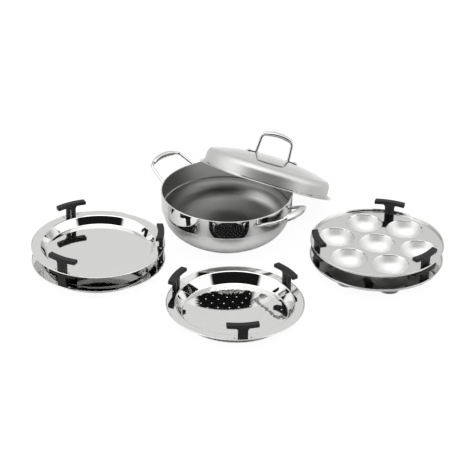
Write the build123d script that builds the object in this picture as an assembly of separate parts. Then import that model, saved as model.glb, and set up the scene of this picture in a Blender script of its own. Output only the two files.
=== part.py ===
from build123d import *
import math
import os

# A stovetop steamer set for steamed rice cakes, laid out as for a meal: a wide pot with its lid
# leaning on its rim, two flat plates stacked on the left, a perforated plate in front and two
# plates with seven hollows stacked on the right. Millimetres, +Z up, the origin in the middle of
# the pot's flat base, +X to the right and +Y away from the front plate.

# Shared fits
contact_gap = 0.3  # air between two separate pieces where one rests on the other
seat_gap = 0.05  # air round a shank, an upright or a rod in its own hole
overrun = 8.0  # how far a cutting shape runs past what it cuts

# Pot
pot_rim_radius = 130.0
pot_height = 100.5
pot_wall = 1.0
pot_rim_bead = 1.2
band_height = 40.0
band_draft = 1.0  # how much the band narrows from rim to foot
ledge_width = 3.0
bowl_foot_radius = 50.0

# Loop handles of pot and lid
rod_radius = 3.1
grip_length = 62.0
grip_width = 15.0  # square to the loop
grip_thickness = 10.4  # in the loop
grip_collar = 0.9  # wall of the grip's ends round the rod
loop_bend_radius = 11.0

# Pot handles
pot_handle_turn = 138.9  # degrees, the second handle lies opposite
pot_handle_spread = 98.0  # from foot to foot
pot_handle_drop = 14.5  # feet below the rim
pot_handle_rise = 26.6  # degrees
pot_handle_reach = 60.4
pot_handle_lean = 10.0  # degrees that each leg leans in
pot_handle_crown_radius = 80.0
pad_width = 15.0
pad_height = 11.0
pad_thickness = 1.2

# Lid, in its own frame: its flange lies on the plane z = 0
lid_radius = 140.0
lid_height = 50.5
lid_sheet = 0.8
lid_hem = 1.0
drip_flange_width = 7.0
lid_step_rise = 3.2
lid_ledge_width = 3.4
lid_skirt_draft = 1.6
lid_shoulder_radius = 15.0
lid_dome_radius = 440.0
lid_azimuth = 54.6  # degrees, the way the lid slopes down
rim_entry_share = 0.58  # how far up the lid's hollow the pot's rim comes

# Lid handle
lid_handle_turn = -56.5  # degrees, from the downhill line of the lid
lid_handle_spread = 68.5
lid_handle_reach = 43.5
lid_handle_lean = 4.0
lid_handle_crown_radius = 80.0
foot_length = 25.0
foot_width = 12.0
foot_thickness = 1.4
lid_rivet_radius = 2.0
lid_rivet_head_radius = 4.6
lid_rivet_head_height = 2.6

# Plates
plate_radius = 128.5
plate_sheet = 0.8
plate_hem = 1.0
flat_plate_height = 16.9  # top of the flange above the table
flat_well_radius = 110.0
flat_floor_radius = 101.0
steam_plate_height = 22.4
steam_well_radius = 110.5
steam_floor_radius = 99.0
well_mouth_bend = 2.4
well_floor_bend = 3.8
hole_radius = 1.5
hole_ring_pitch = 17.4
hole_rings = 5
holes_per_ring_step = 6

# Plates with hollows
deck_radius = 126.3
lip_rise = 4.6
lip_run = 0.2
lip_bend = 0.7
hollow_radius = 36.0
hollow_depth = 22.8
hollow_floor_share = 0.58  # width of the unrounded floor beside the mouth
hollow_fill_share = 0.79  # how much of that floor the great bend takes
hollow_mouth_bend = 1.6
hollow_collar = 1.2  # flat sheet round each mouth
hollow_ring_radius = 80.5
hollows_in_ring = 6

# T-shaped handles of the plates
tees_per_plate = 3
tee_circle_radius = 120.8
tee_height = 29.2
tee_head_length = 59.5
tee_head_depth = 12.4
tee_head_thickness = 6.6
tee_stem_width = 18.0
tee_stem_depth = 7.4
tee_flare_radius = 7.5
tee_corner_radius = 2.0
tee_edge_radius = 1.4

# Brackets and rivets of the T-shaped handles
strip_length = 38.0
strip_width = 8.0
strip_thickness = 0.6
upright_width = 8.0
upright_thickness = 1.2
upright_height = 20.0
window_width = 3.6
window_height = 16.0
rivet_spacing = 30.6
rivet_radius = 1.4
rivet_head_radius = 2.3
rivet_head_height = 1.0

# Where the plates stand
left_stack_place = (-245.7, -126.3)
left_stack_turn = 120.4
front_plate_place = (18.0, -289.5)
front_plate_turn = 156.6
right_stack_place = (290.3, -120.7)
right_stack_turn = 74.4

# Worked-out sizes of the pot
ledge_level = pot_height - band_height
band_foot_radius = pot_rim_radius - band_draft
bowl_mouth_radius = band_foot_radius - ledge_width
band_foot_level = ledge_level + ledge_width
pot_foot_level = pot_height - pot_handle_drop

# Worked-out sizes of the lid
drip_inner_radius = lid_radius - drip_flange_width
lid_ledge_inner_radius = drip_inner_radius - lid_ledge_width
lid_hollow_height = lid_height - lid_sheet

# Worked-out sizes of the plates
idli_deck_height = hollow_depth + plate_sheet
stack_pitch = tee_height + contact_gap + strip_thickness + plate_sheet


def band_radius(level):
    """Outer radius of the pot's band at a height above the table."""
    rise = pot_height - pot_rim_bead - band_foot_level
    return band_foot_radius + band_draft * (level - band_foot_level) / rise


def spun(profile):
    """Turn a flat profile, drawn as radius across and height up, once round the Z axis."""
    return revolve(Plane.XZ * profile, axis=Axis.Z)


def closed_face(*edges):
    """A flat face inside edges that meet end to end."""
    return make_face(list(edges))


def sheet_section(corners, bends, thickness):
    """Section of a bent sheet: its underside runs through corners, outwards from the axis."""
    upper_corners = []
    upper_bends = []
    last = len(corners) - 1
    for index, (radius, level) in enumerate(corners):
        before = direction(corners[index - 1], corners[index]) if index > 0 else None
        after = direction(corners[index], corners[index + 1]) if index < last else None
        before = before or after
        after = after or before
        turn = math.atan2(
            before[0] * after[1] - before[1] * after[0], before[0] * after[0] + before[1] * after[1]
        )
        mitre = thickness * math.tan(turn / 2)
        upper_corners.append(
            (
                radius - before[1] * thickness - before[0] * mitre,
                level + before[0] * thickness - before[1] * mitre,
            )
        )
        if 0 < index < last:
            upper_bends.append(bends[index - 1] + (thickness if turn < 0 else -thickness))
    under = FilletPolyline(*corners, radius=bends)
    upper = FilletPolyline(*upper_corners, radius=upper_bends)
    inner_end = Line(corners[0], upper_corners[0])
    outer_end = Line(corners[-1], upper_corners[-1])
    return closed_face(*under.edges(), outer_end, *upper.edges(), inner_end)


def direction(start, end):
    """Unit step from one point to the next."""
    across = end[0] - start[0]
    along = end[1] - start[1]
    length = math.hypot(across, along)
    return (across / length, along / length)


def pot_body():
    """The spun pot: a flat foot, a round bowl, an inner ledge, a tall band and a rolled rim."""
    middle = (bowl_foot_radius, ledge_level)
    ledge_middle = (bowl_mouth_radius, ledge_level + ledge_width)
    outer = closed_face(
        Line((0, 0), (bowl_foot_radius, 0)),
        EllipticalCenterArc(
            middle, bowl_mouth_radius - bowl_foot_radius, ledge_level, start_angle=270, arc_size=90
        ),
        CenterArc(ledge_middle, ledge_width, 270, 90),
        Line((band_foot_radius, band_foot_level), (pot_rim_radius, pot_height - pot_rim_bead)),
        Line((pot_rim_radius, pot_height - pot_rim_bead), (0, pot_height - pot_rim_bead)),
        Line((0, pot_height - pot_rim_bead), (0, 0)),
    )
    inner_top = pot_height + overrun
    inner = closed_face(
        Line((0, pot_wall), (bowl_foot_radius, pot_wall)),
        EllipticalCenterArc(
            middle,
            bowl_mouth_radius - bowl_foot_radius - pot_wall,
            ledge_level - pot_wall,
            start_angle=270,
            arc_size=90,
        ),
        Line((bowl_mouth_radius - pot_wall, ledge_level), (bowl_mouth_radius - pot_wall, ledge_level + pot_wall)),
        Line((bowl_mouth_radius - pot_wall, ledge_level + pot_wall), (bowl_mouth_radius, ledge_level + pot_wall)),
        CenterArc(ledge_middle, ledge_width - pot_wall, 270, 90),
        Line((band_foot_radius - pot_wall, band_foot_level), (pot_rim_radius - pot_wall, pot_height)),
        Line((pot_rim_radius - pot_wall, pot_height), (pot_rim_radius - pot_wall, inner_top)),
        Line((pot_rim_radius - pot_wall, inner_top), (0, inner_top)),
        Line((0, inner_top), (0, pot_wall)),
    )
    bead = Pos(pot_rim_radius - pot_rim_bead, pot_height - pot_rim_bead) * Circle(pot_rim_bead)
    return spun((outer - inner) + bead)


def loop_path(spread, reach, lean, crown_radius):
    """Half angles and points of a handle loop: straight legs, a bend each side and a crowned top."""
    slope = math.radians(lean)
    crown_level = reach - crown_radius
    rise = spread / 2 * math.cos(slope) - crown_level * math.sin(slope) - loop_bend_radius
    bend_start = math.asin(rise / (crown_radius - loop_bend_radius)) - slope
    bend_x = (crown_radius - loop_bend_radius) * math.sin(bend_start)
    bend_y = crown_level + (crown_radius - loop_bend_radius) * math.cos(bend_start)
    top = (0, reach)
    crown_end = (crown_radius * math.sin(bend_start), crown_level + crown_radius * math.cos(bend_start))
    leg_end = (bend_x + loop_bend_radius * math.cos(slope), bend_y + loop_bend_radius * math.sin(slope))
    middle_angle = (math.pi / 2 - bend_start + slope) / 2
    bend_middle = (
        bend_x + loop_bend_radius * math.cos(middle_angle),
        bend_y + loop_bend_radius * math.sin(middle_angle),
    )
    foot = (spread / 2 + overrun * math.sin(slope), -overrun * math.cos(slope))

    def mirrored(point):
        return (-point[0], point[1])

    return Wire(
        [
            Line(foot, leg_end),
            ThreePointArc(leg_end, bend_middle, crown_end),
            ThreePointArc(crown_end, top, mirrored(crown_end)),
            ThreePointArc(mirrored(crown_end), mirrored(bend_middle), mirrored(leg_end)),
            Line(mirrored(leg_end), mirrored(foot)),
        ]
    )


def loop_rod(path, radius):
    """A round rod along a handle loop."""
    return sweep(Plane(origin=path @ 0, z_dir=path % 0) * Circle(radius), path=path)


def loop_grip(path, reach, crown_radius):
    """A flattened grip on the crown of a loop, drawn in to a collar round the rod at both ends."""
    end_radius = rod_radius + grip_collar
    shoulder_share = 0.72
    half_angle = grip_length / 2 / crown_radius
    sections = []
    for place_share, fullness_share in ((-1, 0), (-shoulder_share, 0.8), (0, 1), (shoulder_share, 0.8), (1, 0)):
        angle = place_share * half_angle
        origin = (crown_radius * math.sin(angle), reach - crown_radius + crown_radius * math.cos(angle), 0)
        tangent = (math.cos(angle), -math.sin(angle), 0)
        half_width = end_radius + (grip_width / 2 - end_radius) * fullness_share
        half_thickness = end_radius + (grip_thickness / 2 - end_radius) * fullness_share
        plane = Plane(origin=origin, x_dir=(0, 0, 1), z_dir=tangent)
        sections.append(plane * Ellipse(half_width, half_thickness))
    return loft(sections) - loop_rod(path, rod_radius + seat_gap)


def band_body(offset):
    """Everything inside the pot's band, grown outwards by an offset."""
    foot = (band_foot_radius + offset, band_foot_level)
    head = (pot_rim_radius + offset, pot_height - pot_rim_bead)
    return spun(
        closed_face(
            Line((0, band_foot_level), foot),
            Line(foot, head),
            Line(head, (0, pot_height - pot_rim_bead)),
            Line((0, pot_height - pot_rim_bead), (0, band_foot_level)),
        )
    )


def pot_handle(turn):
    """Rod, grip and weld pads of one pot handle, at an angle round the pot."""
    foot_radius = band_radius(pot_foot_level) + pad_thickness
    setback = math.sqrt(foot_radius**2 - (pot_handle_spread / 2) ** 2)
    rise = math.radians(pot_handle_rise)
    outward = (math.cos(rise), 0, math.sin(rise))
    # The loop is drawn in a plane whose Y axis points outwards and up, and whose X axis runs
    # from foot to foot
    frame = Plane(
        origin=(setback, 0, pot_foot_level), x_dir=(0, 1, 0), z_dir=(outward[2], 0, -outward[0])
    )
    path = loop_path(pot_handle_spread, pot_handle_reach, pot_handle_lean, pot_handle_crown_radius)
    out_to_pad = band_body(pad_thickness)
    rod = frame * loop_rod(path, rod_radius) - out_to_pad
    grip = frame * loop_grip(path, pot_handle_reach, pot_handle_crown_radius)
    skin = out_to_pad - band_body(0)
    foot_turn = math.degrees(math.asin(pot_handle_spread / 2 / foot_radius))
    pads = []
    for side in (-1, 1):
        oval = Plane(origin=(0, 0, pot_foot_level), x_dir=(0, 1, 0), z_dir=(1, 0, 0)) * Ellipse(
            pad_width / 2, pad_height / 2
        )
        post = extrude(oval, pot_rim_radius + overrun)
        pads.append(skin & (Rot(0, 0, side * foot_turn) * post))
    spin = Rot(0, 0, turn)
    return spin * rod, spin * grip, [spin * pad for pad in pads]


def dome_radius_at(offset):
    """Radius of the lid's dome sphere, grown or shrunk by an offset from its outside."""
    return lid_dome_radius + offset


def dome_face(offset, skirt_offset, floor):
    """Half section of everything below the lid's dome, out to the skirt, drawn for one surface."""
    radius = dome_radius_at(offset)
    centre_level = lid_height - lid_dome_radius
    foot = lid_ledge_inner_radius + lid_sheet + skirt_offset
    head = foot - lid_skirt_draft
    head_level = centre_level + math.sqrt(radius**2 - head**2)
    middle_share = 0.5
    middle = head * middle_share
    face = closed_face(
        Line((0, floor), (foot, floor)),
        Line((foot, floor), (head, head_level)),
        ThreePointArc(
            (head, head_level),
            (middle, centre_level + math.sqrt(radius**2 - middle**2)),
            (0, centre_level + radius),
        ),
        Line((0, centre_level + radius), (0, floor)),
    )
    corner = face.vertices().sort_by_distance(Vector(head, head_level, 0))[0]
    return fillet(corner, lid_shoulder_radius + offset)


def lid_shell():
    """The lid: a drip flange, a step up to a ledge, a tall skirt and a shallow dome."""
    ledge_top = lid_step_rise + lid_sheet
    outer = dome_face(0, 0, lid_step_rise)
    inner = dome_face(-lid_sheet, -lid_sheet, lid_step_rise)
    ledge_inner = lid_ledge_inner_radius
    flange = Polyline(
        (drip_inner_radius, 0),
        (lid_radius - lid_hem, 0),
        (lid_radius - lid_hem, lid_sheet),
        (drip_inner_radius + lid_sheet, lid_sheet),
        (drip_inner_radius + lid_sheet, ledge_top),
        (ledge_inner, ledge_top),
        (ledge_inner, lid_step_rise),
        (drip_inner_radius, lid_step_rise),
        (drip_inner_radius, 0),
    )
    hem = Pos(lid_radius - lid_hem, lid_hem) * Circle(lid_hem)
    profile = (outer - inner) + make_face(flange) + hem
    return spun(profile)


def dome_ball(offset):
    """The sphere that the lid's dome is part of."""
    return Pos(0, 0, lid_height - lid_dome_radius) * Sphere(dome_radius_at(offset))


def lid_parts():
    """Shell, handle rod, grip, feet and rivets of the lid, in the lid's own frame."""
    shell = lid_shell()
    centre_level = lid_height - lid_dome_radius
    foot_sphere = dome_radius_at(foot_thickness)
    foot_level = centre_level + math.sqrt(foot_sphere**2 - (lid_handle_spread / 2) ** 2)
    frame = Plane(origin=(0, 0, foot_level), x_dir=(1, 0, 0), z_dir=(0, -1, 0))
    path = loop_path(lid_handle_spread, lid_handle_reach, lid_handle_lean, lid_handle_crown_radius)
    over_foot = dome_ball(foot_thickness)
    rod = frame * loop_rod(path, rod_radius) - over_foot
    grip = frame * loop_grip(path, lid_handle_reach, lid_handle_crown_radius)
    foot_place = lid_handle_spread / 2 - rod_radius - foot_width / 8 + foot_length / 2
    rivet_place = foot_place + foot_length / 2 - foot_width / 2
    feet = []
    rivets = []
    for side in (-1, 1):
        oval = Pos(side * foot_place, 0, centre_level) * SlotOverall(foot_length, foot_width)
        post = extrude(oval, lid_dome_radius + overrun)
        tilt = side * math.degrees(math.asin(rivet_place / foot_sphere))
        spot = Pos(0, 0, centre_level) * Rot(0, tilt, 0)
        hole = spot * Cylinder(
            lid_rivet_radius + seat_gap, foot_sphere + overrun, align=(Align.CENTER, Align.CENTER, Align.MIN)
        )
        feet.append((over_foot - dome_ball(0)) & post - hole)
        shell = shell - hole
        rivets.append(spot * lid_rivet(foot_sphere))
    turn = Rot(0, 0, lid_handle_turn)
    return turn * shell, turn * rod, turn * grip, [turn * foot for foot in feet], [turn * rivet for rivet in rivets]


def lid_rivet(foot_sphere):
    """A rivet from the lid's underside to a domed head on the foot, along the dome's radius."""
    bottom = lid_dome_radius - lid_sheet
    shank = Pos(0, 0, bottom) * Cylinder(
        lid_rivet_radius, foot_sphere - bottom, align=(Align.CENTER, Align.CENTER, Align.MIN)
    )
    return shank + Pos(0, 0, foot_sphere) * button_head(lid_rivet_head_radius, lid_rivet_head_height)


def button_head(radius, height):
    """A low domed head that sits on the plane z = 0."""
    ball_radius = (radius**2 + height**2) / (2 * height)
    ball = Pos(0, 0, height - ball_radius) * Sphere(ball_radius)
    keep = Cylinder(radius, height, align=(Align.CENTER, Align.CENTER, Align.MIN))
    return ball & keep


def lid_lean():
    """Tilt, centre height and distance of the leaning lid.

    The lid's lowest edge stands on the table behind the pot, its drip flange touches the pot's
    rim at two places, and the rim between them reaches a set share of the hollow's height.
    """
    rim_radius = pot_rim_radius + contact_gap
    inner_radius = drip_inner_radius - contact_gap
    target = rim_entry_share * lid_hollow_height
    low = math.radians(5)
    high = math.radians(80)
    for _ in range(60):
        tilt = (low + high) / 2
        centre_level = (
            (lid_radius - lid_hem) * math.sin(tilt) + lid_hem * (1 - math.cos(tilt)) + contact_gap
        )
        crossing = (centre_level - pot_height) / math.tan(tilt)
        along = crossing / math.cos(tilt)
        distance = math.sqrt(max(rim_radius**2 - inner_radius**2 + along**2, 0)) - crossing
        entry = (rim_radius - distance) * math.sin(tilt) + (pot_height - centre_level) * math.cos(tilt)
        if entry > target:
            high = tilt
        else:
            low = tilt
    return math.degrees(tilt), centre_level, distance


def lid_location():
    """Where the lid's own frame lies in the set."""
    tilt, centre_level, distance = lid_lean()
    return Rot(0, 0, lid_azimuth) * Pos(distance, 0, centre_level) * Rot(0, tilt, 0)


def on_tee_circle(shape, turn=0):
    """Copies of a shape, drawn at the first T-shaped handle, at each handle of a plate."""
    step = 360 / tees_per_plate
    return [Rot(0, 0, turn + index * step) * Pos(tee_circle_radius, 0, 0) * shape for index in range(tees_per_plate)]


def upright_slot():
    """The hole that a bracket's upright needs, from below the flange up into the T."""
    return Pos(0, 0, -overrun) * Box(
        upright_thickness + 2 * seat_gap,
        upright_width + 2 * seat_gap,
        overrun + upright_height + seat_gap,
        align=(Align.CENTER, Align.CENTER, Align.MIN),
    )


def tee_handle():
    """One T: its foot on z = 0, its head along Y and bent to the plate's rim circle."""
    neck = tee_height - tee_head_thickness
    web_half = tee_head_length / 2 - tee_corner_radius
    web_level = neck + tee_head_thickness / 2
    web = Pos(0, (neck + web_level) / 2) * Rectangle(2 * web_half, web_level - neck)
    stem = Pos(0, web_level / 2) * Rectangle(tee_stem_width, web_level)
    outline = web + stem
    corners = [
        vertex
        for vertex in outline.vertices()
        if abs(abs(vertex.X) - tee_stem_width / 2) < seat_gap and abs(vertex.Y - neck) < seat_gap
    ]
    outline = fillet(corners, tee_flare_radius)
    elevation = Plane(origin=(0, 0, 0), x_dir=(0, 1, 0), z_dir=(1, 0, 0)) * outline
    stem_body = extrude(elevation, tee_stem_depth + overrun, both=True)
    stem_body = stem_body & rim_ring(tee_stem_depth, tee_height)
    head_plan = Pos(-tee_circle_radius, 0) * (
        Circle(tee_circle_radius + tee_head_depth / 2) - Circle(tee_circle_radius - tee_head_depth / 2)
    )
    head_plan = head_plan & Rectangle(4 * tee_head_depth, tee_head_length)
    head_plan = fillet(head_plan.vertices(), tee_corner_radius)
    head = Pos(0, 0, neck) * extrude(head_plan, tee_head_thickness)
    head = fillet(head.edges().group_by(Axis.Z)[-1], tee_edge_radius)
    tee = stem_body + head
    window = Pos(-tee_stem_depth, 0, 0) * Box(
        2 * tee_stem_depth, window_width, window_height, align=(Align.CENTER, Align.CENTER, Align.MIN)
    )
    return tee - upright_slot() - window


def rim_ring(depth, height):
    """A ring of the plate's T circle, drawn round the plate's middle from the T's own place."""
    ring = Circle(tee_circle_radius + depth / 2) - Circle(tee_circle_radius - depth / 2)
    return Pos(-tee_circle_radius, 0, 0) * extrude(ring, height)


def tee_bracket():
    """A strip under the flange with an upright that goes up into the T."""
    underside = -plate_sheet - strip_thickness
    strip = Pos(0, 0, underside) * extrude(Rot(0, 0, 90) * SlotOverall(strip_length, strip_width), strip_thickness)
    upright = Pos(0, 0, underside) * Box(
        upright_thickness,
        upright_width,
        upright_height - underside,
        align=(Align.CENTER, Align.CENTER, Align.MIN),
    )
    bracket = strip + upright
    for spot in rivet_spots():
        bracket = bracket - spot * rivet_hole()
    return bracket


def rivet_spots():
    """The two places of the rivets beside one T."""
    return [Pos(0, side * rivet_spacing / 2, 0) for side in (-1, 1)]


def rivet_hole():
    """The hole of one rivet, through flange and strip."""
    return Cylinder(rivet_radius + seat_gap, 2 * overrun)


def tee_rivet():
    """One rivet: a low head on the flange and a shank that ends flush under the strip."""
    grip_span = plate_sheet + strip_thickness
    shank = Pos(0, 0, -grip_span) * Cylinder(rivet_radius, grip_span, align=(Align.CENTER, Align.CENTER, Align.MIN))
    return shank + button_head(rivet_head_radius, rivet_head_height)


def welled_plate(height, well_radius, floor_radius):
    """A pressed plate with a flat rim flange, a deep well and a hemmed edge."""
    flange_under = height - plate_sheet
    section = sheet_section(
        [(0, 0), (floor_radius, 0), (well_radius, flange_under), (plate_radius - plate_hem, flange_under)],
        [well_floor_bend, well_mouth_bend],
        plate_sheet,
    )
    hem = Pos(plate_radius - plate_hem, height - plate_sheet / 2) * Circle(plate_hem)
    return spun(section + hem)


def hole_places():
    """Places of the steam holes: one in the middle and rings round it, each ring turned a little."""
    places = [(0, 0)]
    for ring in range(1, hole_rings + 1):
        count = ring * holes_per_ring_step
        for index in range(count):
            angle = math.radians(360 * (index + ring / 2) / count)
            reach = ring * hole_ring_pitch
            places.append((reach * math.cos(angle), reach * math.sin(angle)))
    return places


def idli_deck():
    """The pressed plate with seven hollows, its deck inside a low lip."""
    deck_under = idli_deck_height - plate_sheet
    section = sheet_section(
        [
            (0, deck_under),
            (deck_radius, deck_under),
            (deck_radius + lip_run, deck_under + lip_rise),
            (plate_radius - plate_hem, deck_under + lip_rise),
        ],
        [lip_bend + plate_sheet, lip_bend],
        plate_sheet,
    )
    hem = Pos(plate_radius - plate_hem, deck_under + lip_rise + plate_sheet / 2) * Circle(plate_hem)
    deck = spun(section + hem)
    floor_radius = hollow_floor_share * hollow_radius
    fall = math.atan2(hollow_depth, hollow_radius - floor_radius)
    great_bend = hollow_fill_share * floor_radius / math.tan(fall / 2)
    collar_radius = hollow_radius + hollow_collar
    dish_section = sheet_section(
        [(0, 0), (floor_radius, 0), (hollow_radius, deck_under), (collar_radius, deck_under)],
        [great_bend, hollow_mouth_bend - plate_sheet],
        plate_sheet,
    )
    dish = spun(dish_section)
    bore = Pos(0, 0, deck_under - overrun) * Cylinder(
        collar_radius, 3 * overrun, align=(Align.CENTER, Align.CENTER, Align.MIN)
    )
    step = 360 / hollows_in_ring
    spots = [Pos(0, 0, 0)]
    spots += [Rot(0, 0, (index + 1 / 2) * step) * Pos(hollow_ring_radius, 0, 0) for index in range(hollows_in_ring)]
    for spot in spots:
        deck = deck - spot * bore + spot * dish
    return deck


def fitted_plate(plate, flange_top):
    """A plate with the holes that its brackets and rivets need."""
    tools = [upright_slot()] + [spot * rivet_hole() for spot in rivet_spots()]
    for tool in tools:
        for cutter in on_tee_circle(Pos(0, 0, flange_top) * tool):
            plate = plate - cutter
    return plate


def steam_plate():
    """The perforated plate."""
    plate = welled_plate(steam_plate_height, steam_well_radius, steam_floor_radius)
    drills = [Pos(x, y, 0) * Cylinder(hole_radius, 2 * overrun) for x, y in hole_places()]
    return plate - drills


def write(name, shape):
    """Write one node, a solid or a group of separate solids."""
    if isinstance(shape, list):
        shape = Compound(children=[solid for piece in shape for solid in piece.solids()])
    export_step(shape, os.path.join("parts", name + ".step"))


def write_plate(name, plate, flange_top, place, turn, level):
    """Write a plate with its T-shaped handles, brackets and rivets where it stands."""
    spot = Pos(place[0], place[1], level) * Rot(0, 0, turn)
    write(name, spot * fitted_plate(plate, flange_top))
    seat = Pos(0, 0, flange_top)
    for index, tee in enumerate(on_tee_circle(seat * tee_handle())):
        write(f"{name}_handle_{index + 1}", spot * tee)
    write(name + "_brackets", [spot * piece for piece in on_tee_circle(seat * tee_bracket())])
    rivets = [spot * piece for rivet in rivet_spots() for piece in on_tee_circle(seat * rivet * tee_rivet())]
    write(name + "_rivets", rivets)


def main():
    os.makedirs("parts", exist_ok=True)

    write("pot_body", pot_body())
    for side, turn in (("left", pot_handle_turn), ("right", pot_handle_turn - 180)):
        rod, grip, pads = pot_handle(turn)
        write(f"pot_handle_rod_{side}", rod)
        write(f"pot_handle_grip_{side}", grip)
        write(f"pot_handle_pads_{side}", pads)

    shell, rod, grip, feet, rivets = lid_parts()
    lean = lid_location()
    write("lid_shell", lean * shell)
    write("lid_handle_rod", lean * rod)
    write("lid_handle_grip", lean * grip)
    write("lid_handle_feet", [lean * foot for foot in feet])
    write("lid_rivets", [lean * rivet for rivet in rivets])

    flat = welled_plate(flat_plate_height, flat_well_radius, flat_floor_radius)
    idli = idli_deck()
    for index, level_name in enumerate(("lower", "upper")):
        level = index * stack_pitch
        write_plate(f"flat_plate_{level_name}", flat, flat_plate_height, left_stack_place, left_stack_turn, level)
        write_plate(f"idli_plate_{level_name}", idli, idli_deck_height, right_stack_place, right_stack_turn, level)
    write_plate("steam_plate", steam_plate(), steam_plate_height, front_plate_place, front_plate_turn, 0)


main()
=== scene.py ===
import math

import bmesh
import bpy
from mathutils import Matrix, Vector
from mathutils.geometry import delaunay_2d_cdt


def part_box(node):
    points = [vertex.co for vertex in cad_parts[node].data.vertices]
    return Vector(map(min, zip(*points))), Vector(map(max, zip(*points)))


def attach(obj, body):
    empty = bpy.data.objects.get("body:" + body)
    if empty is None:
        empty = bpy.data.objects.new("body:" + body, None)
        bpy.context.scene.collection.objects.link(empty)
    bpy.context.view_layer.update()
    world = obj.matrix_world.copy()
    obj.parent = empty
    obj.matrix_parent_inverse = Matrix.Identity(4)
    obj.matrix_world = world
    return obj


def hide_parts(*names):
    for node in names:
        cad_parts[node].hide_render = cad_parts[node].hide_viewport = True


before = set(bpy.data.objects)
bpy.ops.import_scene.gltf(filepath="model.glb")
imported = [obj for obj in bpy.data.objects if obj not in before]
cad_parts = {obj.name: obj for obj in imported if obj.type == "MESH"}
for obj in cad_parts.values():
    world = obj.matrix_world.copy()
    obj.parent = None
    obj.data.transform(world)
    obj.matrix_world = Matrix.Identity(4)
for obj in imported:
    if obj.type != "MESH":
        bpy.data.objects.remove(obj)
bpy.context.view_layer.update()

# Sizes of the set as they are in the model: lengths in millimetres, turns and leans in degrees
MM = 0.001
pot_rim_radius = 130.0
pot_height = 100.5
pot_wall = 1.0
pot_rim_bead = 1.2
band_height = 40.0
band_draft = 1.0
ledge_width = 3.0
bowl_foot_radius = 50.0

rod_radius = 3.1
grip_length = 62.0
grip_width = 15.0
grip_thickness = 10.4
grip_collar = 0.9
loop_bend_radius = 11.0
leg_end_depth = 1.0  # how far a rod's end goes into its weld

pot_handle_turn = 138.9
pot_handle_spread = 98.0
pot_handle_drop = 14.5
pot_handle_rise = 26.6
pot_handle_reach = 60.4
pot_handle_lean = 10.0
pot_handle_crown_radius = 80.0
pad_thickness = 1.2

lid_radius = 140.0
lid_height = 50.5
lid_sheet = 0.8
lid_hem = 1.0
drip_flange_width = 7.0
lid_step_rise = 3.2
lid_ledge_width = 3.4
lid_skirt_draft = 1.6
lid_shoulder_radius = 15.0
lid_dome_radius = 440.0
lid_azimuth = 54.6
rim_entry_share = 0.58
contact_gap = 0.3

lid_handle_turn = -56.5
lid_handle_spread = 68.5
lid_handle_reach = 43.5
lid_handle_lean = 4.0
lid_handle_crown_radius = 80.0
foot_thickness = 1.4

plate_radius = 128.5
plate_sheet = 0.8
plate_hem = 1.0
flat_plate_height = 16.9
flat_well_radius = 110.0
flat_floor_radius = 101.0
steam_plate_height = 22.4
steam_well_radius = 110.5
steam_floor_radius = 99.0
well_mouth_bend = 2.4
well_floor_bend = 3.8
hole_radius = 1.5
hole_ring_pitch = 17.4
hole_rings = 5
holes_per_ring_step = 6

deck_radius = 126.3
lip_rise = 4.6
lip_run = 0.2
lip_bend = 0.7
hollow_radius = 36.0
hollow_depth = 22.8
hollow_floor_share = 0.58
hollow_fill_share = 0.79
hollow_mouth_bend = 1.6
hollow_collar = 1.2
hollow_ring_radius = 80.5
hollows_in_ring = 6

tees_per_plate = 3
tee_circle_radius = 120.8
tee_height = 29.2
strip_thickness = 0.6
rivet_spacing = 30.6
rivet_head_radius = 2.3
rivet_head_height = 1.0

left_stack_turn = 120.4
front_plate_turn = 156.6
right_stack_turn = 74.4

stack_pitch = tee_height + contact_gap + strip_thickness + plate_sheet
idli_deck_height = hollow_depth + plate_sheet

# Textures of the finishes, in millimetres
wave_length = 71.4  # slow waves that pressing leaves in a sheet
wave_height = 2.0
brushing_pitch = 1.2  # rings of the brush, drawn coarse enough to show
mottle_size = 1.11  # filler in the phenolic
mottle_depth = 0.2
bright_brow = 1.5  # how far the deck's polish goes down into a hollow

# Fineness of the meshes
lathe_steps = 256
deck_steps = 192
hollow_steps = 64
rod_sides = 28
grip_sides = 40
grip_stations = 48
hole_sides = 20
drill_depth = 10.0  # far deeper than the sheet is thick, so that every hole goes through
sheet_crease = 32  # degrees: a sharper edge isn't shaded smooth
moulding_crease = 35
solving_rounds = 60
inside_share = 0.999  # a deck cell centred within this share of a collar's radius lies in the hollow
tiny = 1e-6  # a shorter length counts as none

# Camera, fitted to the photograph
camera_place = (-0.0106, -2.957, 1.706)
camera_yaw = 0.011
camera_pitch = 0.525
camera_roll = 0.022
camera_focal_pixels = 1706.8
picture_pixels = 474


def colour(text):
    """An sRGB hex value as the linear colour that a shader takes."""
    parts = [int(text[index:index + 2], 16) / 255 for index in (1, 3, 5)]
    linear = [value / 12.92 if value <= 0.04045 else ((value + 0.055) / 1.055) ** 2.4 for value in parts]
    return (*linear, 1.0)


def add_node(tree, kind, links=None, **settings):
    """Add a node with its properties, its input values and its links."""
    node = tree.nodes.new(kind)
    for name, value in settings.items():
        setattr(node, name, value)
    for socket, value in (links or {}).items():
        if isinstance(value, bpy.types.NodeSocket):
            tree.links.new(value, node.inputs[socket])
        else:
            node.inputs[socket].default_value = value
    return node


def new_material(name):
    """A node material, its tree and its shader."""
    material = bpy.data.materials.new(name)
    material.use_nodes = True
    tree = material.node_tree
    return material, tree, tree.nodes["Principled BSDF"]


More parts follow.
